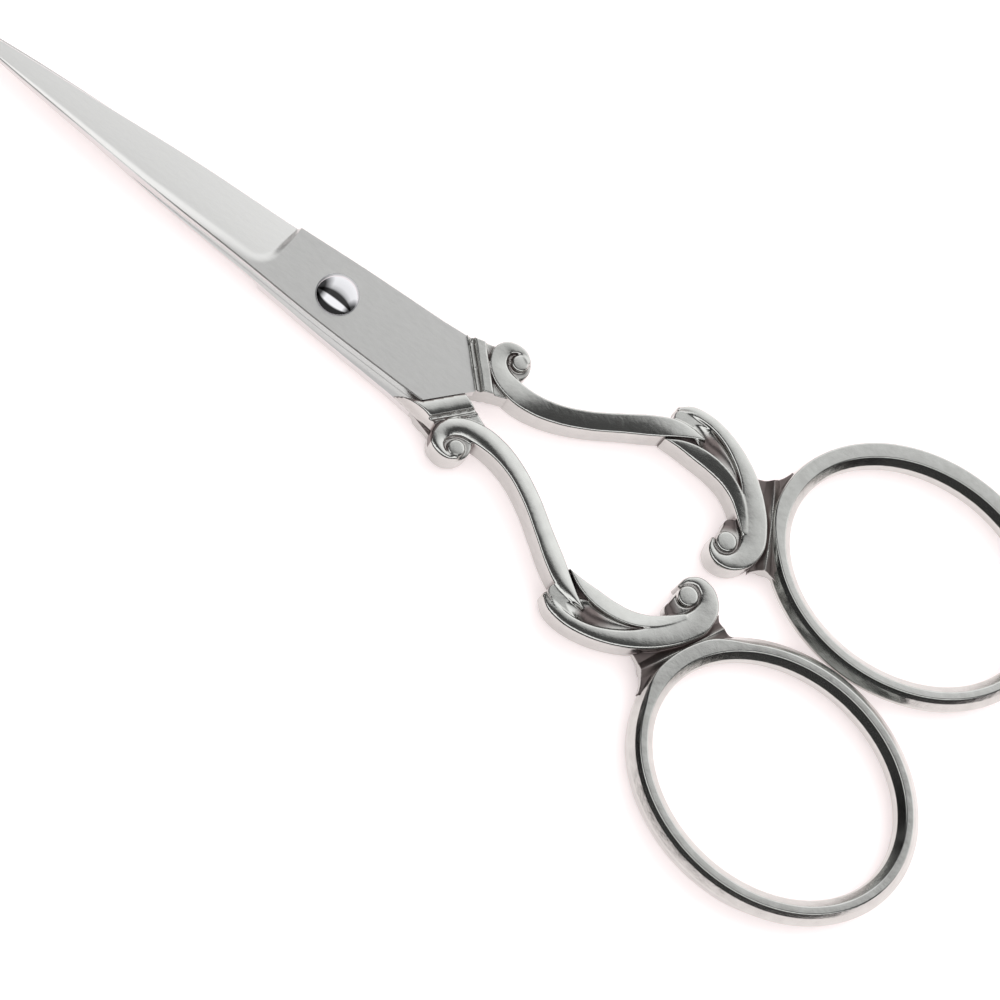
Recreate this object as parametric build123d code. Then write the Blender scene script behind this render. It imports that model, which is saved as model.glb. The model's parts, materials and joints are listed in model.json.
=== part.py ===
from build123d import *
import os

# Small ornate embroidery scissors, lying flat and closed, in millimetres.
#
# The model is drawn about the pivot: +X runs from the pivot to the finger rings, +Y to the side of
# the front half's handle, +Z up, and z = 0 is the plane where the two blades meet. Both halves are
# the same forging: the back half is the front half turned half a turn about the X axis. At the end
# everything moves so that the origin is under the middle of the scissors, on the table.

# Driving dimensions
BLADE_TIP_X = -43.7         # the pivot to the points
BLADE_THICKNESS = 1.25      # at the pivot, each half
BLADE_GAP = 0.02            # the mating plane to each half
TIP_THICKNESS = 0.55        # each half, near its point
EDGE_THICKNESS = 0.40       # of the ground face at its cutting edge, by the plunge
PLUNGE_X = -6.5             # where the ground face ends and the flat plate begins
PLUNGE_CORNER = 2.0         # radius of the ground face's rounded corner
HANDLE_THICKNESS = 3.3      # shank, leaf and scrolls
COLLAR_GROOVE = 0.30        # depth of the grooves across the collar

RING_CENTER = (56.85, 11.78)
RING_OUTER = (14.35, 11.7)  # half length, half width
RING_WIRE = 2.25            # width of the ring's section
RING_HEIGHT = 2.8
RING_TILT = 4.5             # degrees, of the ring's long axis
RING_ROUND = 1.1            # radius of the section's corners
WEB_HEIGHT = 2.0            # the web that joins the ring to the handle

HEAD_RADIUS = 2.0           # domed head of the pivot screw
HEAD_RISE = 0.90            # dome alone
HEAD_RIM = 0.07             # straight rim under the dome
SCREW_RADIUS = 1.10         # where the front half turns on it
THREAD_RADIUS = 0.95        # where it is screwed into the back half
SCREW_CLEARANCE = 0.04      # radial, in the front half only
HEAD_CLEARANCE = 0.02       # axial, under the head

SCROLL_CENTER = (15.85, 4.7)    # the scroll beside the collar
SCROLL_RADIUS = 1.85
SCROLL_EYE_CENTER = (16.75, 5.1)
SCROLL_EYE = 0.85
END_SCROLL_CENTER = (41.15, 3.2)    # the scroll beside the finger ring
END_SCROLL_EYE = 0.9
EYE_RISE = 0.20             # how far each eye stands above its scroll
EYE_GROOVE_WIDTH = 0.30
EYE_GROOVE_DEPTH = 0.60

BLADE_TOP = BLADE_GAP + BLADE_THICKNESS
HANDLE_TOP = HANDLE_THICKNESS / 2

# Corners shared by the blade's plate and the collar, front half seen from above
COLLAR_INNER = (14.9, 0.45)     # the line across the plate where the collar starts
COLLAR_OUTER = (11.3, 4.25)
PLATE_REAR = (14.0, -0.70)      # the plate's free rear edge, from here to the spine
SPINE_REAR = (11.7, -3.30)
SHOULDER_INNER = (14.07, 0.78)  # underside: the shoulder runs beside the back half's rear edge
SHOULDER_CORNER = (11.80, 3.42)
SHOULDER_OUTER = (9.60, 4.18)
SHANK_INNER = (16.3, 1.00)      # where the collar ends and the shank begins
SHANK_OUTER = (13.4, 4.55)

# The curve where the handle's last scroll meets the web of the finger ring
RIB_TO_RING = [(40.75, 10.10), (42.25, 8.15), (43.95, 5.45), (45.00, 3.10)]


def between(edges, low, high):
    """A prism on a closed plan outline, from z = low to z = high."""
    outline = make_face(edges)
    return extrude(Pos(0, 0, low) * outline, amount=high - low, dir=(0, 0, 1))


def both_faces(solid):
    """The solid, and the same solid turned to the other face of the flat object."""
    return solid + mirror(solid, Plane.XY)


def turned(solid):
    """A piece of the front half, turned to become the same piece of the back half."""
    return Rot(180, 0, 0) * solid


def blade():
    """One blade: a long tapering cutter that is a flat plate around the pivot."""
    tip = (BLADE_TIP_X, -0.35)
    plate_corner = (PLUNGE_X, 3.15)
    edges = [
        Spline(tip, (-36.0, 0.72), (-27.0, 1.57), (-18.0, 2.45), plate_corner),
        Spline(plate_corner, (0.0, 3.66), COLLAR_OUTER),
        Line(COLLAR_OUTER, COLLAR_INNER),
        Line(COLLAR_INNER, PLATE_REAR),
        Line(PLATE_REAR, SPINE_REAR),
        Spline(SPINE_REAR, (0.0, -3.15), (-9.0, -2.72), (-27.0, -1.92), (-36.0, -1.33), tip),
    ]
    body = between(edges, BLADE_GAP, BLADE_TOP)
    body -= ground_face_cutter()
    hole = Cylinder(SCREW_RADIUS + SCREW_CLEARANCE, 4 * BLADE_THICKNESS)
    return body - hole


def ground_face_cutter():
    """What grinding takes off: a slope towards the cutting edge that also thins to the point."""
    beyond = 3.0
    spine_side = -2.45
    corner = (PLUNGE_X - PLUNGE_CORNER, spine_side)
    edges = [
        Line((PLUNGE_X, 3.15 + beyond), (PLUNGE_X, spine_side + PLUNGE_CORNER)),
        TangentArc((PLUNGE_X, spine_side + PLUNGE_CORNER), corner, tangent=(0, -1)),
        Line(corner, (-20.0, spine_side - 0.4)),
        Line((-20.0, spine_side - 0.4), (BLADE_TIP_X - beyond, spine_side - 0.4)),
        Line((BLADE_TIP_X - beyond, spine_side - 0.4), (BLADE_TIP_X - beyond, 3.15 + beyond)),
        Line((BLADE_TIP_X - beyond, 3.15 + beyond), (PLUNGE_X, 3.15 + beyond)),
    ]
    region = between(edges, 0, 2 * BLADE_TOP)
    at_spine = Vector(PLUNGE_X, spine_side, BLADE_TOP - 0.10)
    at_edge = Vector(PLUNGE_X, 3.15, EDGE_THICKNESS)
    at_tip = Vector(BLADE_TIP_X, -0.9, TIP_THICKNESS)
    normal = (at_tip - at_spine).cross(at_edge - at_spine)
    slope = Plane(origin=at_spine, x_dir=at_tip - at_spine, z_dir=normal * (1 if normal.Z > 0 else -1))
    above = slope * Box(200, 60, 10, align=(Align.CENTER, Align.CENTER, Align.MIN))
    return region & above


def collar():
    """The ridged block between blade and handle, with its shoulder on the underside."""
    upper = between(
        Polyline(COLLAR_INNER, COLLAR_OUTER, SHANK_OUTER, SHANK_INNER, close=True),
        BLADE_GAP,
        HANDLE_TOP,
    )
    lower = between(
        Polyline(SHOULDER_INNER, SHOULDER_CORNER, SHOULDER_OUTER, SHANK_OUTER, SHANK_INNER, close=True),
        -HANDLE_TOP,
        BLADE_GAP,
    )
    return upper + lower


def collar_grooves():
    """Two grooves across both faces of the collar, parallel to the line where the plate ends."""
    start = Vector(*COLLAR_INNER)
    along = (Vector(*COLLAR_OUTER) - start).normalized()
    across = Vector(-along.Y, along.X) * -1
    cutters = Part()
    for distance in (0.45, 1.75):
        middle = start + along * 2.5 + across * distance
        groove = Pos(middle.X, middle.Y, HANDLE_TOP) * Rot(0, 0, Vector(1, 0).get_signed_angle(along))
        cutters += groove * Box(12, 0.35, 2 * COLLAR_GROOVE)
    return both_faces(cutters)


def shank_and_leaf():
    """The curved shank, the leaf it ends in, and the body of the end scroll."""
    leaf_root = (30.3, 10.0)
    leaf_tip = (31.2, 11.6)
    inner_tip = (31.6, 7.15)
    scroll_left = (39.95, 4.30)
    scroll_root = (40.45, 5.45)
    edges = [
        Spline(SHANK_OUTER, (16.8, 4.5), (20.5, 3.95), (24.0, 5.1), (27.2, 7.4), leaf_root),
        Line(leaf_root, leaf_tip),
        Spline(leaf_tip, (33.4, 12.15), (37.3, 11.35), RIB_TO_RING[0]),
        Spline(*RIB_TO_RING),
        Spline(RIB_TO_RING[-1], (42.9, 1.2), (42.05, 0.80), (41.1, 1.05), (40.15, 2.2), scroll_left),
        Line(scroll_left, scroll_root),
        Spline(scroll_root, (38.9, 6.95), (36.2, 7.55), inner_tip),
        Line(inner_tip, (30.9, 7.55)),
        Spline((30.9, 7.55), (26.8, 5.0), (22.3, 2.55), (19.0, 1.40), SHANK_INNER),
        Line(SHANK_INNER, SHANK_OUTER),
    ]
    body = between(edges, -HANDLE_TOP, HANDLE_TOP)
    return body - leaf_recess()


def leaf_recess():
    """The hollow on each face between the leaf's outer rib and its inner strand."""
    edges = [
        Spline((33.2, 9.5), (34.6, 10.75), (36.2, 10.75), (39.4, 9.0), (41.2, 6.9)),
        Spline((41.2, 6.9), (38.5, 8.6), (36.0, 9.4), (33.2, 9.5)),
    ]
    return both_faces(between(edges, HANDLE_TOP - 0.8, HANDLE_TOP + 1))


def scroll_eye(center, radius):
    """A round boss that stands a little above both faces at the middle of a scroll."""
    boss = Cylinder(radius, HANDLE_THICKNESS + 2 * EYE_RISE)
    return Pos(*center) * fillet(boss.edges().filter_by(GeomType.CIRCLE), EYE_RISE + 0.1)


def eye_groove(center, radius):
    """The groove around a scroll's eye, on both faces."""
    outer = radius + EYE_GROOVE_WIDTH
    depth = 2 * EYE_GROOVE_DEPTH
    groove = Cylinder(outer, depth) - Cylinder(radius, 2 * depth)
    return both_faces(Pos(center[0], center[1], HANDLE_TOP) * groove)


def handle():
    """Collar, first scroll, shank, leaf and end scroll, which are one casting."""
    body = shank_and_leaf() + collar()
    body += Pos(*SCROLL_CENTER) * Cylinder(SCROLL_RADIUS, HANDLE_THICKNESS)
    body -= collar_grooves()
    for center, radius in ((SCROLL_EYE_CENTER, SCROLL_EYE), (END_SCROLL_CENTER, END_SCROLL_EYE)):
        body -= eye_groove(center, radius)
        body += scroll_eye(center, radius)
    return body


def finger_ring():
    """An oval ring with a rounded section, and the web that joins it to the end scroll."""
    place = Pos(*RING_CENTER) * Rot(0, 0, RING_TILT)
    half_length, half_width = RING_OUTER
    band = Ellipse(half_length, half_width) - Ellipse(half_length - RING_WIRE, half_width - RING_WIRE)
    ring = extrude(band, amount=RING_HEIGHT / 2, both=True)
    ring = place * fillet(ring.edges(), RING_ROUND)
    web_edges = [
        Spline(*RIB_TO_RING),
        Line(RIB_TO_RING[-1], (48.4, 3.0)),
        Line((48.4, 3.0), (43.7, 12.0)),
        Line((43.7, 12.0), RIB_TO_RING[0]),
    ]
    opening = place * extrude(Ellipse(half_length - RING_WIRE, half_width - RING_WIRE), 5, both=True)
    return ring + (between(web_edges, -WEB_HEIGHT / 2, WEB_HEIGHT / 2) - opening)


def pivot_screw():
    """The domed screw: its head on the front half, its end flush with the back half's outer face."""
    seat = BLADE_TOP + HEAD_CLEARANCE
    top = seat + HEAD_RIM + HEAD_RISE
    profile = [
        Polyline(
            (0, top),
            (0, -BLADE_TOP),
            (THREAD_RADIUS, -BLADE_TOP),
            (THREAD_RADIUS, -BLADE_GAP),
            (SCREW_RADIUS, -BLADE_GAP),
            (SCREW_RADIUS, seat),
            (HEAD_RADIUS, seat),
            (HEAD_RADIUS, seat + HEAD_RIM),
        ),
        RadiusArc((0, top), (HEAD_RADIUS, seat + HEAD_RIM), (HEAD_RADIUS**2 + HEAD_RISE**2) / (2 * HEAD_RISE)),
    ]
    return revolve(Plane.XZ * make_face(profile), Axis.Z)


def back_blade():
    """The back half's blade, whose hole is threaded onto the screw."""
    solid = turned(blade())
    plug = Cylinder(SCREW_RADIUS + 2 * SCREW_CLEARANCE, BLADE_THICKNESS)
    solid += Pos(0, 0, -BLADE_GAP - BLADE_THICKNESS / 2) * plug
    return solid - Cylinder(THREAD_RADIUS, 4 * BLADE_THICKNESS)


parts = {
    "front_blade": blade(),
    "front_handle": handle(),
    "front_finger_ring": finger_ring(),
    "back_blade": back_blade(),
    "back_handle": turned(handle()),
    "back_finger_ring": turned(finger_ring()),
    "pivot_screw": pivot_screw(),
}

# The origin goes to the middle of the bottom of the whole object's box.
boxes = [solid.bounding_box() for solid in parts.values()]
middle_x = (min(box.min.X for box in boxes) + max(box.max.X for box in boxes)) / 2
middle_y = (min(box.min.Y for box in boxes) + max(box.max.Y for box in boxes)) / 2
bottom = min(box.min.Z for box in boxes)
to_origin = Pos(-middle_x, -middle_y, -bottom)

os.makedirs("parts", exist_ok=True)
for name, solid in parts.items():
    export_step(to_origin * solid, f"parts/{name}.step")
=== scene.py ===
"""Small ornate embroidery scissors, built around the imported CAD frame.

Shapes are drawn in millimetres about the pivot, for the front half: +X to the finger rings, +Y to
the front half's handle, z = 0 where the blades meet. The back half is the same forging turned half
a turn about the X axis. place() takes them to the row frame, in metres.
"""

import json
import math
from functools import partial

import bmesh
import bpy
import numpy as np
from mathutils import Matrix, Vector


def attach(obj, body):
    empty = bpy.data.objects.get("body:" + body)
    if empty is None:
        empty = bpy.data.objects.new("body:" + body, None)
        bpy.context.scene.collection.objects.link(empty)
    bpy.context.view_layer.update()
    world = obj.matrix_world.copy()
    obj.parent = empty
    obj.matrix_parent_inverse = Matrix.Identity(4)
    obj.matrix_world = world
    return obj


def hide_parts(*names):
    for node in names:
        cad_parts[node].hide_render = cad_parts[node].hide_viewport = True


MM = 0.001
FRONT, BACK = 1, -1

# Blades
BLADE_GAP = 0.02  # the mating plane to each half
BLADE_TOP = 1.27
BLADE_TIP_X = -43.7
TIP_ROUND = 0.5
PLUNGE_X = -6.3  # where the ground face ends and the flat plate begins
PLUNGE_CORNER = 2.3
PLATE_END_X = 9.0  # from here the plate's rows turn towards its rear edge
BEVEL_WIDTH = 0.11
BEVEL_DROP = 0.10
HOLE_RADIUS = 1.14
COLLAR_INNER = (14.9, 0.45)
COLLAR_OUTER = (11.3, 4.25)
PLATE_REAR = (14.0, -0.70)
SPINE_REAR = (11.7, -3.30)
SHOULDER_INNER = (14.07, 0.78)
SHOULDER_CORNER = (11.80, 3.42)
SHOULDER_OUTER = (9.60, 4.18)

# Handles
CASTING_LOW, CASTING_HIGH = (9.0, -0.4, -2.1), (47.6, 20.6, 2.1)  # the box around one casting
GRID_STEP = 0.1
FRONT_CROWN, BACK_CROWN = 0.03, 0.20  # how much the shank's faces bulge
SCROLL_EYE = (16.75, 5.10, 0.80)
END_SCROLL_EYE = (41.15, 3.2, 0.95)
PITS = [(12.10, 4.05, 1.42, 0.30), (13.80, 2.28, 1.42, 0.24), (15.95, 4.62, 1.40, 0.30)]

# Finger rings
RING_CENTER = (56.85, 11.78)
RING_HALF_LENGTH = 13.225
RING_HALF_WIDTH = 10.575
RING_TILT = math.radians(4.5)
RING_WIRE = (1.125, 1.38)  # half width and half height of the wire
FLAT_END = 0.24  # where the flat ends, outwards from the wire's middle
FLAT_EXTRA = 0.66  # how much further it reaches beside the web

# Pivot screw
HEAD_RADIUS = 2.0
HEAD_RISE = 0.91
HEAD_RIM = 0.05
HEAD_SEAT = 1.29
SHANK_RADIUS = 1.10
THREAD_RADIUS = 0.95
SCREW_SIDES = 128

# Camera, looking at a point given from the pivot
CAMERA_ELEVATION = math.radians(69.95)
CAMERA_AZIMUTH = math.radians(-0.335)
CAMERA_ROLL = math.radians(37.0)
CAMERA_DISTANCE = 260.0
CAMERA_TARGET = (22.62, -5.98, 0)
CAMERA_LENS = 105.0


# ---------------------------------------------------------------- shapes as distance fields


def smooth_curve(points, count):
    """Points on one smooth curve through the given rows; every column is carried along it."""
    rows = np.array(points, float)
    steps = np.linalg.norm(np.diff(rows[:, :2], axis=0), axis=1)
    knots = np.concatenate([[0.0], np.cumsum(steps)])
    slopes = np.gradient(rows, knots, axis=0)
    at = np.linspace(0, knots[-1], count)
    i = np.clip(np.searchsorted(knots, at, side="right") - 1, 0, len(rows) - 2)
    span = (knots[i + 1] - knots[i])[:, None]
    t = (at - knots[i])[:, None] / span
    low, high = rows[i], rows[i + 1]
    return (
        (2 * t**3 - 3 * t**2 + 1) * low
        + (t**3 - 2 * t**2 + t) * span * slopes[i]
        + (3 * t**2 - 2 * t**3) * high
        + (t**3 - t**2) * span * slopes[i + 1]
    )


def nearest(line, x, y, reach):
    """Plan distance to a sampled line, its side (+1 on the left), and its other columns there."""
    shape = np.broadcast(x, y).shape
    px = np.broadcast_to(x, shape).ravel()
    py = np.broadcast_to(y, shape).ravel()
    distance = np.full(px.size, 10.0)
    side = np.ones(px.size)
    carried = np.tile(line[0, 2:], (px.size, 1))
    low = line[:, :2].min(0) - reach
    high = line[:, :2].max(0) + reach
    close = np.nonzero((px > low[0]) & (px < high[0]) & (py > low[1]) & (py < high[1]))[0]
    start, step = line[:-1], np.diff(line, axis=0)
    length2 = (step[:, :2] ** 2).sum(1)
    for part in np.array_split(close, len(close) // 20000 + 1):
        dx = px[part, None] - start[:, 0]
        dy = py[part, None] - start[:, 1]
        t = np.clip((dx * step[:, 0] + dy * step[:, 1]) / length2, 0, 1)
        gap2 = (dx - t * step[:, 0]) ** 2 + (dy - t * step[:, 1]) ** 2
        k = gap2.argmin(1)
        row = np.arange(len(part))
        distance[part] = np.sqrt(gap2[row, k])
        side[part] = np.sign(dy[row, k] * step[k, 0] - dx[row, k] * step[k, 1])
        carried[part] = start[k, 2:] + t[row, k][:, None] * step[k, 2:]
    return distance.reshape(shape), side.reshape(shape), carried.T.reshape(-1, *shape)


def rounded(a, b, radius):
    """Where both fields are negative, with the corner between them rounded."""
    u, v = a + radius, b + radius
    return np.hypot(np.maximum(u, 0), np.maximum(v, 0)) + np.minimum(np.maximum(u, v), 0) - radius


def blended(a, b, width):
    """Where either field is negative, with the crease between them filled."""
    near = np.maximum(width - np.abs(a - b), 0) / width
    return np.minimum(a, b) - near**2 * width / 4


def smoothstep(low, high, value):
    t = np.clip((value - low) / (high - low), 0, 1)
    return t * t * (3 - 2 * t)


def strand(line, x, y, z, edge=0.18, crown=0.05):
    """A bar along a curve of rows (x, y, half width, half height, lean).

    Both faces are crowned. Lean makes the curve's left side the higher one.
    """
    distance, side, (half_width, half_height, lean) = nearest(line, x, y, 2.5)
    across = np.minimum(distance / half_width, 1.2)
    top = half_height - crown * across**2 + lean * side * across
    return rounded(distance - half_width, np.abs(z) - top, edge)


def disc(x, y, z, center, radius, half_height, edge=0.2, dome=0.0):
    """A flat or domed round boss."""
    out = np.hypot(x - center[0], y - center[1])
    top = half_height - dome * (out / radius) ** 2
    return rounded(out - radius, np.abs(z) - top, edge)


def half_plane(x, y, start, end):
    """Distance to the right of the line from start to end, negative on its left."""
    dx, dy = end[0] - start[0], end[1] - start[1]
    length = math.hypot(dx, dy)
    return ((x - start[0]) * dy - (y - start[1]) * dx) / length


# Rows of (x, y, half width, half height, lean), from the blades towards the ring
SHANK = smooth_curve(
    [
        (17.2, 5.75, 0.30, 1.60, 0.0),
        (16.6, 6.10, 0.34, 1.64, 0.0),
        (15.75, 6.05, 0.46, 1.66, 0.0),
        (15.05, 5.60, 0.64, 1.66, -0.04),
        (14.80, 4.85, 0.78, 1.66, -0.06),
        (15.05, 4.00, 0.82, 1.66, -0.06),
        (15.90, 3.22, 0.88, 1.66, -0.05),
        (17.8, 2.70, 1.00, 1.66, -0.01),
        (20.0, 2.75, 0.98, 1.66, 0.09),
        (22.2, 3.35, 0.92, 1.66, 0.14),
        (24.8, 4.65, 0.90, 1.66, 0.15),
        (27.6, 6.55, 0.92, 1.66, 0.15),
        (29.8, 8.05, 0.98, 1.66, 0.12),
        (31.4, 9.05, 0.86, 1.64, 0.04),
        (32.9, 9.65, 0.52, 1.58, -0.02),
        (34.2, 10.00, 0.12, 1.45, -0.02),
    ],
    120,
)
LEAF_RIB = smooth_curve(
    [
        (30.9, 11.0, 0.36, 1.25, -0.05),
        (31.7, 11.45, 0.52, 1.45, -0.05),
        (33.3, 11.75, 0.58, 1.56, -0.05),
        (35.4, 11.50, 0.62, 1.62, -0.05),
        (37.6, 10.65, 0.74, 1.64, -0.04),
        (39.6, 9.35, 0.90, 1.66, -0.02),
        (41.2, 7.75, 1.10, 1.66, 0.01),
        (42.5, 5.95, 1.22, 1.66, 0.03),
        (43.30, 4.25, 1.16, 1.66, 0.03),
        (43.20, 2.75, 0.96, 1.66, 0.02),
        (42.35, 1.75, 0.72, 1.64, 0.0),
        (41.2, 1.50, 0.50, 1.60, 0.0),
        (40.35, 2.00, 0.32, 1.50, 0.0),
        (40.0, 2.80, 0.16, 1.34, 0.0),
    ],
    120,
)
LEAF_STRAND = smooth_curve(
    [
        (31.3, 7.75, 0.06, 1.45, 0.0),
        (32.6, 8.15, 0.40, 1.54, 0.05),
        (34.4, 8.40, 0.70, 1.56, 0.10),
        (36.2, 8.40, 0.76, 1.56, 0.14),
        (38.2, 8.00, 0.70, 1.57, 0.14),
        (39.7, 7.25, 0.62, 1.58, 0.12),
        (41.0, 6.10, 0.50, 1.60, 0.08),
        (42.0, 5.00, 0.34, 1.62, 0.0),
    ],
    50,
)
LEAF_FLOOR = smooth_curve(
    [
        (31.4, 10.30, 0.7, 1.46, 0.0),
        (32.6, 10.50, 0.9, 1.40, 0.0),
        (33.8, 10.35, 1.0, 1.10, 0.0),
        (34.9, 10.05, 1.1, 0.70, 0.0),
        (36.2, 9.80, 1.1, 0.90, 0.0),
        (37.6, 9.30, 1.0, 1.10, 0.0),
        (39.3, 8.35, 0.8, 1.28, 0.0),
        (40.8, 7.00, 0.5, 1.48, 0.0),
    ],
    40,
)
END_SCROLL_FLOOR = smooth_curve(
    [(40.75, 4.9, 0.72, 0.85, 0.0), (41.3, 3.9, 1.25, 1.2, 0.0), (41.6, 3.0, 1.4, 1.35, 0.0)], 12
)
WEB = smooth_curve(
    [
        (40.9, 12.2, 1.9, 0.80, 0.0),
        (42.1, 10.2, 1.35, 1.00, 0.0),
        (43.3, 7.9, 1.0, 1.15, 0.0),
        (44.4, 5.7, 1.0, 1.15, 0.0),
        (45.8, 2.8, 1.4, 1.00, 0.0),
    ],
    40,
)
WEB_NOTCHES = [(39.2, 13.6, 3.4), (46.1, 1.7, 1.8)]


def collar_top(t):
    """Height of the collar's upper face at a distance behind the line where the plate ends."""
    lip = 1.50 * smoothstep(-0.02, 0.10, t)
    groove = 0.30 * (smoothstep(0.12, 0.34, t) - smoothstep(0.55, 0.80, t))
    band = 0.16 * smoothstep(0.55, 0.85, t)
    behind = 0.36 * smoothstep(1.62, 1.80, t)
    return lip - groove + band - behind


def collar_bottom(t):
    """Depth of the collar's lower face: one wide band, then a groove with a thin ridge in it."""
    band = 1.62 - 0.12 * ((t - 0.75) / 0.75) ** 2 * (t < 1.5)
    ridge = 0.16 * np.exp(-(((t - 1.98) / 0.12) ** 2))
    groove = 0.36 * smoothstep(1.42, 1.60, t)
    return band - groove + ridge


def collar(x, y, z):
    """The ridged block between plate and shank, with a shoulder on its underside."""
    inner_side = half_plane(x, y, (14.9, 0.50), (17.2, 1.45))
    outer_side = half_plane(x, y, (13.9, 5.05), (11.2, 4.25))
    behind = half_plane(x, y, (17.6, 1.8), (15.2, 5.5))
    sides = np.maximum(np.maximum(inner_side, outer_side), behind)
    t = -half_plane(x, y, COLLAR_OUTER, COLLAR_INNER)
    top = rounded(np.maximum(sides, -t), z - collar_top(t), 0.08)
    top = np.maximum(top, -z)
    first = half_plane(x, y, SHOULDER_CORNER, SHOULDER_INNER)
    second = half_plane(x, y, SHOULDER_OUTER, SHOULDER_CORNER)
    drafted = half_plane(x, y, (13.9, 4.75), (9.6, 4.22)) + 0.5 * np.maximum(-z - 0.4, 0)
    ends = np.maximum(np.maximum(inner_side, behind), drafted)
    ends = np.maximum(ends, np.minimum(first, second))
    bottom = rounded(ends, -z - collar_bottom(-first), 0.12)
    bottom = np.maximum(bottom, z - BLADE_GAP)
    return np.minimum(top, bottom)


def ring(x, y, z):
    """Roughly the finger ring's near side, a little thinner than the ring itself."""
    dx, dy = x - RING_CENTER[0], y - RING_CENTER[1]
    u = dx * math.cos(RING_TILT) + dy * math.sin(RING_TILT)
    v = dy * math.cos(RING_TILT) - dx * math.sin(RING_TILT)
    a, b = RING_HALF_LENGTH, RING_HALF_WIDTH
    level = np.hypot(u / a, v / b)
    slope = np.hypot(u / a**2, v / b**2) / np.maximum(level, 1e-6)
    out = np.clip((level - 1) / np.maximum(slope, 1e-6), -4, 4)
    half_width, half_height = RING_WIRE
    side, height = np.abs(out) - half_width + 0.2, np.abs(z) - half_height + 0.13
    wire = np.maximum(rounded(side, height, 0.2), 0.707 * (np.abs(out) + np.abs(z)) - 0.95)
    return np.maximum(wire, x - 47.0)


def valley(x, y, z):
    """The hollow between the leaf's rib and its inner strand, shallower towards the ring."""
    distance, _, (half_width, bottom, _) = nearest(LEAF_FLOOR, x, y, 2.5)
    top = np.minimum(bottom + 0.55 * (distance / half_width) ** 2, np.maximum(bottom, 1.38))
    return np.maximum(distance - half_width, np.abs(z) - top)


def web(x, y, z):
    """The low ridged web that ties the leaf to the ring, notched at both ends."""
    distance, _, (half_width, ridge, _) = nearest(WEB, x, y, 2.5)
    top = np.maximum(ridge - 0.75 * distance, 0.45)
    body = rounded(distance - half_width, np.abs(z) - top, 0.06)
    solid = blended(body, ring(x, y, z), 0.4)
    for cx, cy, radius in WEB_NOTCHES:
        solid = np.maximum(solid, radius - np.hypot(x - cx, y - cy))
    return solid


def casting(x, y, z, shank_crown):
    """Collar, scrolls, shank, split leaf and web of the front half: one forging."""
    shank = strand(SHANK, x, y, z, crown=shank_crown)
    rib = strand(LEAF_RIB, x, y, z, edge=0.24, crown=0.08)
    inner = strand(LEAF_STRAND, x, y, z, crown=0.03)
    solid = blended(rib, inner, 0.08)
    solid = np.minimum(solid, shank)
    solid = blended(solid, valley(x, y, z), 0.15)
    solid = blended(solid, strand(END_SCROLL_FLOOR, x, y, z, crown=0.0), 0.25)
    solid = blended(solid, disc(x, y, z, (16.35, 4.75), 1.62, 1.25), 0.20)
    for cx, cy, radius in (SCROLL_EYE, END_SCROLL_EYE):
        solid = blended(solid, disc(x, y, z, (cx, cy), radius, 1.68, edge=0.2, dome=0.04), 0.22)
    solid = blended(solid, collar(x, y, z), 0.10)
    solid = blended(solid, web(x, y, z), 0.15)
    for px, py, pz, radius in PITS:
        solid = np.maximum(solid, radius - np.sqrt((x - px) ** 2 + (y - py) ** 2 + (z - pz) ** 2))
    return solid


# ---------------------------------------------------------------- from field to mesh


def gradient(field, points, h=0.012):
    """The field's slope at each point, by central differences."""
    parts = []
    for axis in range(3):
        step = np.zeros(3)
        step[axis] = h
        high, low = points + step, points - step
        parts.append((field(*high.T) - field(*low.T)) / (2 * h))
    return np.stack(parts, 1)


def unit(vectors):
    return vectors / np.maximum(np.linalg.norm(vectors, axis=1, keepdims=True), 1e-9)


def surface_crossings(field, values, origin, step):
    """Grid edges that pass through the surface: for each axis, nodes, direction, places, normals."""
    inside = values < 0
    found = []
    for axis in range(3):
        along = np.eye(3, dtype=int)[axis]
        count = inside.shape[axis]
        changes = np.take(inside, range(count - 1), axis) != np.take(inside, range(1, count), axis)
        nodes = np.argwhere(changes)
        before, after = values[tuple(nodes.T)], values[tuple((nodes + along).T)]
        share = (before / (before - after))[:, None]
        places = origin + step * (nodes + share * along)
        found.append((nodes, before < 0, places, unit(gradient(field, places))))
    return found


def surface_mesh(field, low, high, step):
    """Quads on the field's zero surface, with a vertex in each crossed cell that keeps edges crisp.

    Each vertex is the best meeting point of the tangent planes around its cell.
    """
    axes = [np.arange(a, b + step, step) for a, b in zip(low, high)]
    values = field(axes[0][:, None, None], axes[1][None, :, None], axes[2][None, None, :])
    origin = np.array([axis[0] for axis in axes])
    found = surface_crossings(field, values, origin, step)
    used = np.zeros(values.shape, bool)
    rings = []
    for axis, (nodes, *_) in enumerate(found):
        e = np.eye(3, dtype=int)[(axis + 1) % 3]
        f = np.eye(3, dtype=int)[(axis + 2) % 3]
        cells = [nodes - e - f, nodes - f, nodes, nodes - e]
        for cell in cells:
            used[tuple(cell.T)] = True
        rings.append(cells)
    ids = np.full(values.shape, -1)
    ids[used] = np.arange(used.sum())
    centers = origin + step * (np.argwhere(used) + 0.5)
    faces, cell_of, planes = [], [], []
    for cells, (nodes, leaving, places, normals) in zip(rings, found):
        quad = np.stack([ids[tuple(cell.T)] for cell in cells], 1)
        for column in range(4):
            cell_of.append(quad[:, column])
            planes.append(np.hstack([normals, places]))
        quad[~leaving] = quad[~leaving][:, ::-1]
        faces.append(quad)
    corners = meeting_points(np.concatenate(planes), np.concatenate(cell_of), centers)
    return centers + np.clip(corners, -0.6 * step, 0.6 * step), np.concatenate(faces)


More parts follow.
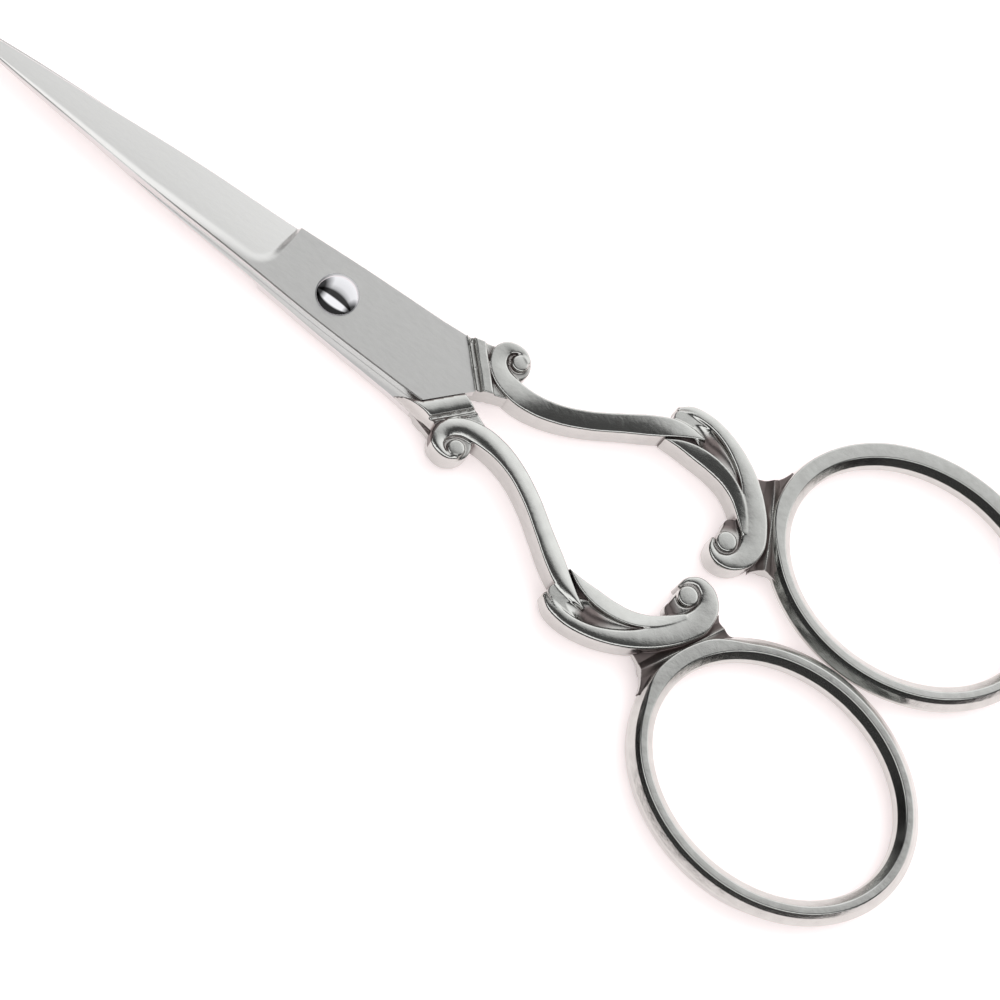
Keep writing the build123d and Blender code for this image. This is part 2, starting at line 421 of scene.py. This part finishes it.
def meeting_points(planes, cell_of, centers):
    """Where the tangent planes of each cell best meet, from the cell's center.

    Planes are rows of (normal, point). Each cell's answer is drawn to the mean of its points.
    """
    count = len(centers)
    normals, offsets = planes[:, :3], planes[:, 3:] - centers[cell_of]
    totals = np.bincount(cell_of, minlength=count)
    middle = np.stack([np.bincount(cell_of, offsets[:, i], count) for i in range(3)], 1)
    middle /= totals[:, None]
    reach = (normals * (offsets - middle[cell_of])).sum(1)
    matrix = np.zeros((count, 3, 3))
    right = np.zeros((count, 3))
    for i in range(3):
        right[:, i] = np.bincount(cell_of, normals[:, i] * reach, count)
        for j in range(3):
            matrix[:, i, j] = np.bincount(cell_of, normals[:, i] * normals[:, j], count)
    matrix += 0.08 * np.eye(3)
    return middle + np.linalg.solve(matrix, right[:, :, None])[:, :, 0]


def settled(field, vertices, step):
    """Vertices moved onto the field's zero surface, and the surface's normals there."""
    slope = gradient(field, vertices)
    size2 = np.maximum((slope**2).sum(1), 0.2)
    move = -field(*vertices.T)[:, None] * slope / size2[:, None]
    length = np.linalg.norm(move, axis=1, keepdims=True)
    vertices = vertices + move * np.minimum(1, 0.4 * step / np.maximum(length, 1e-9))
    return vertices, unit(gradient(field, vertices, 0.03))


def place(points, side):
    """From pivot millimetres on the front half to row metres on either half."""
    turned = np.array(points, float) * (1, side, side)
    return turned * MM + np.array(PIVOT)


def new_mesh(name, vertices, faces, side=FRONT, normals=None):
    """An object from pivot millimetres, turned over for the back half."""
    mesh = bpy.data.meshes.new(name)
    mesh.from_pydata(place(vertices, side).tolist(), [], [list(map(int, f)) for f in faces])
    mesh.polygons.foreach_set("use_smooth", [True] * len(mesh.polygons))
    if normals is not None:
        mesh.normals_split_custom_set_from_vertices((normals * (1, side, side)).tolist())
    obj = bpy.data.objects.new(name, mesh)
    bpy.context.collection.objects.link(obj)
    return obj


def hollow_amount(field, vertices, normals, look=0.4):
    """How closely the metal crowds the space in front of each place: 0 in the open, 1 in a pit; the
    plating paints shade by it.
    """
    ahead = field(*(vertices + look * normals).T)
    return np.clip((look - ahead) / look, 0, 1)


def painted_shade(vertices, normals):
    """Painted shade: how dark faces sunk well below the top are, and the collar's shoulder where a
    shadow gap falls.
    """
    x, _, z = vertices.T
    sunk = 1 - smoothstep(0.75, 1.30, np.abs(z))
    level = smoothstep(0.35, 0.70, np.abs(normals[:, 2]))
    # Painted shadow gap on the collar's shoulder, on faces turned back towards the plate.
    shoulder = (x < 14.6) & (z < 0.1) & (normals[:, 0] < -0.25)
    return np.maximum(sunk * level, shoulder)


def build_castings():
    """The two handles, each one closed mesh with its hollows marked for the plating's painted shade."""
    step = GRID_STEP
    pieces = []
    for prefix, side, crown in (("front", FRONT, FRONT_CROWN), ("back", BACK, BACK_CROWN)):
        field = partial(casting, shank_crown=crown)
        vertices, faces = surface_mesh(field, CASTING_LOW, CASTING_HIGH, step)
        vertices, normals = settled(field, vertices, step)
        # Painted shade: darker in the hollows and on the collar's shoulder.
        hollow = np.maximum(hollow_amount(field, vertices, normals), painted_shade(vertices, normals))
        piece = new_mesh(f"{prefix}_casting", vertices, faces, side, normals)
        shade = piece.data.attributes.new("hollow", "FLOAT", "POINT")
        shade.data.foreach_set("value", hollow.astype(np.float32))
        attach(piece, f"{prefix}_half")
        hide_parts(f"{prefix}_handle")
        pieces.append(piece)
    return pieces


def rounded_corners(corners, count):
    """Points along a line of corners (x, y, radius), each turned into an arc."""
    points = []
    for (ax, ay, _), (bx, by, radius), (cx, cy, _) in zip(corners, corners[1:], corners[2:]):
        back = np.array([ax - bx, ay - by]) / math.hypot(ax - bx, ay - by)
        ahead = np.array([cx - bx, cy - by]) / math.hypot(cx - bx, cy - by)
        half_turn = math.acos(np.clip(back @ ahead, -1, 1)) / 2
        center = (back + ahead) / np.linalg.norm(back + ahead) * radius / math.sin(half_turn)
        first = back * radius / math.tan(half_turn) - center
        last = ahead * radius / math.tan(half_turn) - center
        for share in np.linspace(0, 1, count):
            arm = first * (1 - share) + last * share
            points.append((bx, by) + center + arm / np.linalg.norm(arm) * radius)
    return np.array(points)


def ring_side(flat_end, count):
    """One face of the wire (outwards, up): a dished flat that ends at flat_end, and chamfers."""
    w, h = RING_WIRE
    rest = w - flat_end
    corners = [
        (-w, 0.0, 0.0),
        (-w, 0.55, 0.6),
        (-0.40, h - 0.02, 0.2),
        (flat_end, h, 0.2),
        (flat_end + 0.42 * rest, h - 0.47 * rest, 0.15 + 0.4 * rest),
        (w, 0.25, 0.4),
        (w, 0.0, 0.0),
    ]
    return rounded_corners(corners, count)


def nearness(angle, center, full, zero):
    """1 within an angle of a direction round the ring, fading to 0 at another; center in degrees."""
    away = abs(math.remainder(angle - math.radians(center), 2 * math.pi))
    return 1 - smoothstep(full, zero, away)


def ring_section(angle, count):
    """The wire's outline at an angle: flats are wide by the web, most of all on the front face."""
    front = ring_side(FLAT_END + FLAT_EXTRA * nearness(angle, 130, 0.9, 1.5), count)
    back = ring_side(FLAT_END + FLAT_EXTRA * nearness(angle, 195, 0.2, 0.6), count)
    return np.concatenate([front, back[::-1] * (1, -1)])


def build_rings():
    """The two oval finger rings."""
    turns, count = ((300, 9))
    angles = np.linspace(0, 2 * math.pi, turns, endpoint=False)
    sections = np.array([ring_section(angle, count) for angle in angles])
    around = sections.shape[1]
    out, up = sections[:, :, 0], sections[:, :, 1]
    u = RING_HALF_LENGTH * np.cos(angles)
    v = RING_HALF_WIDTH * np.sin(angles)
    nu, nv = np.cos(angles) / RING_HALF_LENGTH, np.sin(angles) / RING_HALF_WIDTH
    length = np.hypot(nu, nv)
    u = u[:, None] + out * (nu / length)[:, None]
    v = v[:, None] + out * (nv / length)[:, None]
    x = RING_CENTER[0] + u * math.cos(RING_TILT) - v * math.sin(RING_TILT)
    y = RING_CENTER[1] + u * math.sin(RING_TILT) + v * math.cos(RING_TILT)
    vertices = np.stack([x, y, up], 2).reshape(-1, 3)
    grid = np.arange(turns * around).reshape(turns, around)
    ahead, over = np.roll(grid, -1, 0), np.roll(grid, -1, 1)
    both = np.roll(ahead, -1, 1)
    faces = np.stack([grid, ahead, both, over], 2).reshape(-1, 4)
    pieces = []
    for prefix, side in (("front", FRONT), ("back", BACK)):
        piece = new_mesh(f"{prefix}_ring", vertices, faces, side)
        mark_sharp_edges(piece, math.radians(60))
        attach(piece, f"{prefix}_half")
        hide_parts(f"{prefix}_finger_ring")
        pieces.append(piece)
    return pieces


# ---------------------------------------------------------------- blades and screw

# Plan outlines of one blade, rows of (x, y)
CUTTING_SIDE = [
    (-43.7, -0.05),
    (-36.0, 0.80),
    (-27.0, 1.62),
    (-18.0, 2.48),
    (-6.5, 3.17),
    (0.0, 3.66),
    (9.0, 4.15),
]
SPINE_SIDE = [
    (-43.7, -0.25),
    (-36.0, -1.12),
    (-27.0, -1.82),
    (-18.0, -2.38),
    (-9.0, -2.72),
    (0.0, -3.15),
    (9.0, -3.30),
]


def outline(rows, x):
    """An outline's y at each x, on a smooth curve through its rows."""
    line = smooth_curve(rows, 400)
    return np.interp(x, line[:, 0], line[:, 1])


def ground_depth(x, y, edge_y):
    """How much grinding has taken off the outer face at a place."""
    spine_line = np.interp(x, [-44, -20, -13, -9], [-1.3, -2.45, -2.45, -2.40])
    rise = np.clip((y - spine_line) / np.maximum(edge_y - spine_line, 0.3), 0, 1.1)
    along = np.clip((PLUNGE_X - x) / 37, 0, 1)
    slope = 0.60 * along + (0.72 - 0.66 * along) * rise**1.2
    cx, cy = PLUNGE_X - PLUNGE_CORNER, -2.40 + PLUNGE_CORNER
    in_corner = (x > cx) & (y < cy)
    straight = np.minimum(PLUNGE_X - x, y - spine_line)
    wall = np.where(in_corner, PLUNGE_CORNER - np.hypot(x - cx, y - cy), straight)
    soft = 0.25 + 0.75 * np.clip(rise, 0, 1)
    fade = smoothstep(-0.1, 0.9 - 0.62 * np.clip(rise * 1.4 - 0.4, 0, 1), wall)
    return (slope + 0.06 * soft) * fade


def blade_stations():
    """Places along the blade, closer together at the point and by the plunge."""
    return np.concatenate(
        [
            BLADE_TIP_X + TIP_ROUND * (1 - np.cos(np.linspace(0, math.pi / 2, 8))),
            np.linspace(-43.0, -10.0, 100),
            np.linspace(-9.9, -5.5, 80),
            np.linspace(-5.2, PLATE_END_X, 40),
        ]
    )


def blade_plan(across):
    """A grid of plan places: along the blade from the point, and across it from the spine.

    Across counts from 0 to 42: a bevel at each edge is one step wide, and the face between is 40.
    """
    stations = blade_stations()
    spine, cutting = outline(SPINE_SIDE, stations), outline(CUTTING_SIDE, stations)
    to_round = (1 - (stations - BLADE_TIP_X) / TIP_ROUND).clip(0)
    narrowing = np.sqrt(np.clip(1 - to_round**2, 0.01, 1))
    middle = (spine + cutting) / 2
    low = middle + (spine - middle) * narrowing
    high = middle + (cutting - middle) * narrowing
    width = high - low
    inset = np.minimum(BEVEL_WIDTH, width / 4)
    bevels = np.clip(across, 0, 1) + np.clip(across - 41, 0, 1)
    face = np.clip((across - 1) / 40, 0, 1)
    y = low[:, None] + inset[:, None] * bevels + (width - 2 * inset)[:, None] * face
    plan = np.stack([np.repeat(stations[:, None], len(across), 1), y], 2)
    last = plan[-1]
    goal = rear_edge((last[:, 1] - last[0, 1]) / (last[-1, 1] - last[0, 1]))
    turned = [last + (goal - last) * t for t in np.linspace(0, 1, 14)[1:]]
    return np.concatenate([plan, turned])


def rear_edge(share):
    """Places on the plate's rear boundary, at shares of the way from spine to cutting side."""
    corners = np.array([SPINE_REAR, PLATE_REAR, (14.95, 0.35), COLLAR_OUTER])
    corners[2:] += (0.15, 0.14)
    steps = np.linalg.norm(np.diff(corners, axis=0), axis=1)
    along = np.concatenate([[0], np.cumsum(steps)]) / steps.sum()
    at = np.linspace(0, 1, 96)
    columns = [np.interp(at, along, corners[:, axis]) for axis in (0, 1)]
    return np.stack([np.interp(share, at, column) for column in columns], 1)


def blade_top(plan, across):
    """Height of the outer face: ground away towards point and edge, and bevelled at both sides."""
    x, y = plan[:, :, 0], plan[:, :, 1]
    depth = ground_depth(x, y, outline(CUTTING_SIDE, x))
    bevelled = np.clip(1 - across, 0, 1) + np.clip(across - 41, 0, 1)
    return np.maximum(BLADE_TOP - depth - BEVEL_DROP * bevelled, BLADE_GAP + 0.05)


def build_blade(name, side, body):
    """One blade: a shaped outer face, a flat inner face and the edges between them."""
    across = np.concatenate([[0, 0.5, 1], np.linspace(2, 40, 37), [41, 41.5, 42]])
    plan = blade_plan(across)
    top = blade_top(plan, across)
    outer = np.concatenate([plan, top[:, :, None]], 2)
    inner = np.concatenate([plan, np.full_like(top, BLADE_GAP)[:, :, None]], 2)
    grid = np.arange(top.size).reshape(top.shape)
    quads = np.stack([grid[:-1, :-1], grid[1:, :-1], grid[1:, 1:], grid[:-1, 1:]], 2).reshape(-1, 4)
    rim = np.concatenate([grid[:, 0], grid[-1, 1:], grid[-2::-1, -1], grid[0, -2:0:-1]])
    after = np.roll(rim, -1)
    edges = np.stack([rim, rim + top.size, after + top.size, after], 1)
    vertices = np.concatenate([outer.reshape(-1, 3), inner.reshape(-1, 3)])
    faces = np.concatenate([quads, quads[:, ::-1] + top.size, edges])
    piece = new_mesh(name, vertices, faces, side)
    for index, polygon in enumerate(piece.data.polygons):
        polygon.material_index = 0 if index < len(quads) else 1
    mark_sharp_edges(piece, math.radians(24))
    drill(piece)
    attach(piece, body)
    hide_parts(name.replace("_ground", ""))
    return piece


def mark_sharp_edges(piece, angle):
    """Shades the piece smooth except across edges steeper than an angle."""
    mesh = bmesh.new()
    mesh.from_mesh(piece.data)
    bmesh.ops.recalc_face_normals(mesh, faces=mesh.faces)
    for edge in mesh.edges:
        if len(edge.link_faces) == 2 and edge.calc_face_angle(0) > angle:
            edge.smooth = False
    mesh.to_mesh(piece.data)
    mesh.free()


def drill(piece):
    """Cuts the pivot hole through a blade."""
    bpy.ops.mesh.primitive_cylinder_add(
        vertices=64, radius=HOLE_RADIUS * MM, depth=8 * MM, location=PIVOT
    )
    tool = bpy.context.object
    cut = piece.modifiers.new("hole", "BOOLEAN")
    cut.operation, cut.solver, cut.object = "DIFFERENCE", "EXACT", tool
    bpy.context.view_layer.update()
    evaluated = piece.evaluated_get(bpy.context.evaluated_depsgraph_get())
    mesh = bpy.data.meshes.new_from_object(evaluated)
    piece.modifiers.clear()
    piece.data = mesh
    bpy.data.objects.remove(tool)


def build_screw():
    """The domed screw as one turned piece: head, plain shank, and a flush end with a thin ring."""
    dome_radius = (HEAD_RADIUS**2 + HEAD_RISE**2) / (2 * HEAD_RISE)
    rim_top = HEAD_SEAT + HEAD_RIM
    edge = math.asin(HEAD_RADIUS / dome_radius)
    dome = [
        (dome_radius * math.sin(angle), rim_top + HEAD_RISE - dome_radius * (1 - math.cos(angle)))
        for angle in np.linspace(0.0, edge * 0.97, 30)
    ]
    rim = [
        (HEAD_RADIUS - 0.01, rim_top - 0.03),
        (HEAD_RADIUS, rim_top - 0.08),
        (HEAD_RADIUS, HEAD_SEAT + 0.05),
        (HEAD_RADIUS - 0.05, HEAD_SEAT),
    ]
    shank = [
        (SHANK_RADIUS, HEAD_SEAT),
        (SHANK_RADIUS, -BLADE_GAP),
        (THREAD_RADIUS, -BLADE_GAP),
        (THREAD_RADIUS, -1.22),
    ]
    end = [(THREAD_RADIUS - 0.06, -1.27), (0.45, -1.27), (0.3, -1.2), (0.0, -1.12)]
    return turned_piece("screw_turned", dome + rim + shank + end, SCREW_SIDES)


def turned_piece(name, profile, sides):
    """A closed solid of revolution about the pivot axis."""
    angles = np.linspace(0, 2 * math.pi, sides, endpoint=False)
    rings = [(r, z) for r, z in profile[1:-1]]
    vertices = [(0, 0, profile[0][1])]
    for r, z in rings:
        vertices += [(r * math.cos(a), r * math.sin(a), z) for a in angles]
    vertices.append((0, 0, profile[-1][1]))
    faces = [(0, 1 + k, 1 + (k + 1) % sides) for k in range(sides)]
    for i in range(len(rings) - 1):
        low = 1 + i * sides
        for k in range(sides):
            n = (k + 1) % sides
            faces.append((low + k, low + sides + k, low + sides + n, low + n))
    end, low = len(vertices) - 1, 1 + (len(rings) - 1) * sides
    faces += [(end, low + (k + 1) % sides, low + k) for k in range(sides)]
    piece = new_mesh(name, vertices, faces)
    mark_sharp_edges(piece, math.radians(30))
    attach(piece, "back_half")
    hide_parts("pivot_screw")
    return piece


# ---------------------------------------------------------------- materials


def new_material(name):
    """A metal material and its shader."""
    material = bpy.data.materials.new(name)
    material.use_nodes = True
    nodes = material.node_tree.nodes
    nodes.clear()
    shader = nodes.new("ShaderNodeBsdfPrincipled")
    shader.inputs["Metallic"].default_value = 1.0
    output = nodes.new("ShaderNodeOutputMaterial")
    material.node_tree.links.new(shader.outputs[0], output.inputs[0])
    return material, shader


def noise(material, scale, stretch=(1, 1, 1), detail=3.0, roughness=0.5):
    """Noise on object coordinates, stretched along an axis where stretch is small."""
    tree = material.node_tree
    place_node = tree.nodes.new("ShaderNodeTexCoord")
    mapping = tree.nodes.new("ShaderNodeMapping")
    mapping.inputs["Scale"].default_value = stretch
    texture = tree.nodes.new("ShaderNodeTexNoise")
    texture.inputs["Scale"].default_value = scale
    texture.inputs["Detail"].default_value = detail
    texture.inputs["Roughness"].default_value = roughness
    tree.links.new(place_node.outputs["Object"], mapping.inputs["Vector"])
    tree.links.new(mapping.outputs[0], texture.inputs["Vector"])
    return texture.outputs["Fac"]


def remap(material, value, low, high, to_low, to_high):
    """A value stretched from one range to another."""
    tree = material.node_tree
    node = tree.nodes.new("ShaderNodeMapRange")
    for name, number in (("From Min", low), ("From Max", high), ("To Min", to_low), ("To Max", to_high)):
        node.inputs[name].default_value = number
    tree.links.new(value, node.inputs["Value"])
    return node.outputs["Result"]


def colour_mix(material, factor, first, second):
    """A colour between two, by a factor."""
    tree = material.node_tree
    node = tree.nodes.new("ShaderNodeMix")
    node.data_type = "RGBA"
    node.inputs[6].default_value = (*first, 1)
    node.inputs[7].default_value = (*second, 1)
    tree.links.new(factor, node.inputs[0])
    return node.outputs[2]


def bump(material, shader, height, distance, strength):
    tree = material.node_tree
    node = tree.nodes.new("ShaderNodeBump")
    node.inputs["Strength"].default_value = strength
    node.inputs["Distance"].default_value = distance
    tree.links.new(height, node.inputs["Height"])
    tree.links.new(node.outputs[0], shader.inputs["Normal"])


def plating():
    """Polished nickel: faintly uneven, duller in the hollows, and darker there with painted shade."""
    material, shader = new_material("polished_nickel")
    tree = material.node_tree
    hollow = tree.nodes.new("ShaderNodeAttribute")
    hollow.attribute_name = "hollow"
    waves = noise(material, 900, detail=2.0)
    factor = tree.nodes.new("ShaderNodeMath")
    factor.operation = "MULTIPLY_ADD"
    tree.links.new(waves, factor.inputs[0])
    factor.inputs[1].default_value = 0.25
    tree.links.new(hollow.outputs["Fac"], factor.inputs[2])
    # The dark colour is painted shade for the hollows and the collar's shoulder.
    colour = colour_mix(material, factor.outputs[0], (0.61, 0.62, 0.60), (0.19, 0.16, 0.155))
    tree.links.new(colour, shader.inputs["Base Color"])
    tree.links.new(remap(material, factor.outputs[0], 0, 1.2, 0.14, 0.40), shader.inputs["Roughness"])
    bump(material, shader, noise(material, 900, detail=4.0, roughness=0.6), 0.00005, 0.45)
    return material


def satin_steel():
    """Ground steel: fine lines along the blade."""
    material, shader = new_material("satin_steel")
    tree = material.node_tree
    lines = noise(material, 2600, stretch=(0.35, 1, 1), detail=4.0, roughness=0.7)
    colour = colour_mix(material, lines, (0.62, 0.62, 0.61), (0.74, 0.74, 0.73))
    tree.links.new(colour, shader.inputs["Base Color"])
    tree.links.new(remap(material, lines, 0.2, 0.8, 0.34, 0.46), shader.inputs["Roughness"])
    bump(material, shader, lines, 0.00002, 0.4)
    return material


def polished_steel():
    """The blades' flat inner faces and edges: smoother than the satin outer face."""
    material, shader = new_material("polished_steel")
    tree = material.node_tree
    lines = noise(material, 1800, stretch=(0.15, 1, 1), detail=3.0)
    colour = colour_mix(material, lines, (0.66, 0.65, 0.65), (0.72, 0.72, 0.71))
    tree.links.new(colour, shader.inputs["Base Color"])
    tree.links.new(remap(material, lines, 0.2, 0.8, 0.14, 0.24), shader.inputs["Roughness"])
    return material


def mirror_steel():
    """The screw's polished head, very faintly smeared."""
    material, shader = new_material("mirror_steel")
    tree = material.node_tree
    smear = noise(material, 500, detail=2.0)
    colour = colour_mix(material, smear, (0.64, 0.64, 0.66), (0.58, 0.58, 0.60))
    tree.links.new(colour, shader.inputs["Base Color"])
    tree.links.new(remap(material, smear, 0, 1, 0.03, 0.08), shader.inputs["Roughness"])
    return material


# ---------------------------------------------------------------- stage


def build_stage():
    """A pale floor just under the object."""
    bpy.ops.mesh.primitive_plane_add(size=4.0, location=(0, 0, -0.0002))
    floor = bpy.context.object
    floor.name = "floor"
    material, shader = new_material("pale_floor")
    shader.inputs["Metallic"].default_value = 0.0
    shader.inputs["Base Color"].default_value = (0.75, 0.69, 0.69, 1)
    shader.inputs["Emission Color"].default_value = (1.0, 0.92, 0.92, 1)
    shader.inputs["Emission Strength"].default_value = 0.45
    shader.inputs["Roughness"].default_value = 0.9
    floor.data.materials.append(material)


def build_world():
    """What the metal reflects: pale on the far side, dark overhead, a bright window on the near side.

    Levels go by the angle from overhead to the far side, in degrees, and fade towards both ends.
    """
    world = bpy.data.worlds.new("studio")
    bpy.context.scene.world = world
    world.use_nodes = True
    tree = world.node_tree
    tree.nodes.clear()
    links = tree.links
    coordinate = tree.nodes.new("ShaderNodeTexCoord")
    split = tree.nodes.new("ShaderNodeSeparateXYZ")
    links.new(coordinate.outputs["Generated"], split.inputs[0])
    angle = tree.nodes.new("ShaderNodeMath")
    angle.operation = "ARCTAN2"
    links.new(split.outputs["Y"], angle.inputs[0])
    links.new(split.outputs["Z"], angle.inputs[1])
    across = [(-48, 0.03), (-41, 1), (-16, 1), (-11, 0.04), (10, 0.05), (19, 0.5), (40, 0.85), (90, 1)]
    along = [(-0.88, 0.05), (-0.56, 1), (0.74, 1), (0.94, 0.08)]
    across = [(math.radians(degrees), level) for degrees, level in across]
    shade = tree.nodes.new("ShaderNodeVectorMath")
    shade.operation = "MULTIPLY"
    links.new(grey_profile(tree, angle.outputs[0], math.pi / 2, across), shade.inputs[0])
    links.new(grey_profile(tree, split.outputs["X"], 1.0, along), shade.inputs[1])
    background = tree.nodes.new("ShaderNodeBackground")
    background.inputs["Strength"].default_value = 1.5
    output = tree.nodes.new("ShaderNodeOutputWorld")
    links.new(shade.outputs["Vector"], background.inputs["Color"])
    links.new(background.outputs[0], output.inputs[0])


def grey_profile(tree, value, limit, stops):
    """A grey that follows rows of (value, level) between -limit and limit."""
    share = tree.nodes.new("ShaderNodeMapRange")
    share.inputs["From Min"].default_value = -limit
    share.inputs["From Max"].default_value = limit
    ramp = tree.nodes.new("ShaderNodeValToRGB")
    tree.links.new(value, share.inputs["Value"])
    tree.links.new(share.outputs["Result"], ramp.inputs["Fac"])
    elements = ramp.color_ramp.elements
    elements.remove(elements[0])
    for index, (at, level) in enumerate(stops):
        position = (at / limit + 1) / 2
        element = elements[0] if index == 0 else elements.new(position)
        element.position = position
        element.color = (level, level, level, 1)
    return ramp.outputs["Color"]


def build_light():
    """One large soft light that isn't seen in the metal, which reflects the studio alone."""
    data = bpy.data.lights.new("overhead", "AREA")
    data.size = 0.6
    data.energy = 2.2
    lamp = bpy.data.objects.new("overhead", data)
    lamp.location = (0.05, 0.1, 0.5)
    lamp.rotation_euler = (Vector((0, 0, 0)) - lamp.location).to_track_quat("-Z", "Y").to_euler()
    lamp.visible_glossy = False
    bpy.context.collection.objects.link(lamp)


def build_camera():
    """High over the near side, rolled so that the blades point up and left."""
    out = math.cos(CAMERA_ELEVATION)
    side, near = math.sin(CAMERA_AZIMUTH), math.cos(CAMERA_AZIMUTH)
    back = Vector((side * out, -near * out, math.sin(CAMERA_ELEVATION)))
    level = Vector((near, side, 0))
    up = back.cross(level)
    right = level * math.cos(CAMERA_ROLL) + up * math.sin(CAMERA_ROLL)
    top = up * math.cos(CAMERA_ROLL) - level * math.sin(CAMERA_ROLL)
    target = Vector(PIVOT) + Vector(CAMERA_TARGET) * MM
    data = bpy.data.cameras.new("camera")
    data.lens = CAMERA_LENS
    data.clip_start, data.clip_end = 0.01, 10
    camera = bpy.data.objects.new("camera", data)
    turn = Matrix((right, top, back)).transposed().to_4x4()
    camera.matrix_world = Matrix.Translation(target + back * CAMERA_DISTANCE * MM) @ turn
    bpy.context.collection.objects.link(camera)
    bpy.context.scene.camera = camera


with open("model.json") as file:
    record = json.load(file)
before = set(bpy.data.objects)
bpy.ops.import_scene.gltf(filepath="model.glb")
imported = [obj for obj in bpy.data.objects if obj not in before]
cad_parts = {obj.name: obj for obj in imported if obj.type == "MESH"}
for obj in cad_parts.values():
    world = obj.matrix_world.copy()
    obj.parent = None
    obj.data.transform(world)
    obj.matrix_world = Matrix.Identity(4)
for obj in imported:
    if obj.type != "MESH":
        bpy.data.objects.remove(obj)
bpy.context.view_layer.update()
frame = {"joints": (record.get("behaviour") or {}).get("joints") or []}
PIVOT = tuple(frame["joints"][0]["pos_m"])

nickel, steel, polished, mirror = plating(), satin_steel(), polished_steel(), mirror_steel()
for casting_piece in build_castings() + build_rings():
    casting_piece.data.materials.append(nickel)
for prefix, side in (("front", FRONT), ("back", BACK)):
    blade = build_blade(f"{prefix}_blade_ground", side, f"{prefix}_half")
    blade.data.materials.append(steel)
    blade.data.materials.append(polished)
build_screw().data.materials.append(mirror)
build_stage()
build_world()
build_light()
build_camera()
bpy.context.scene.view_settings.view_transform = "Standard"
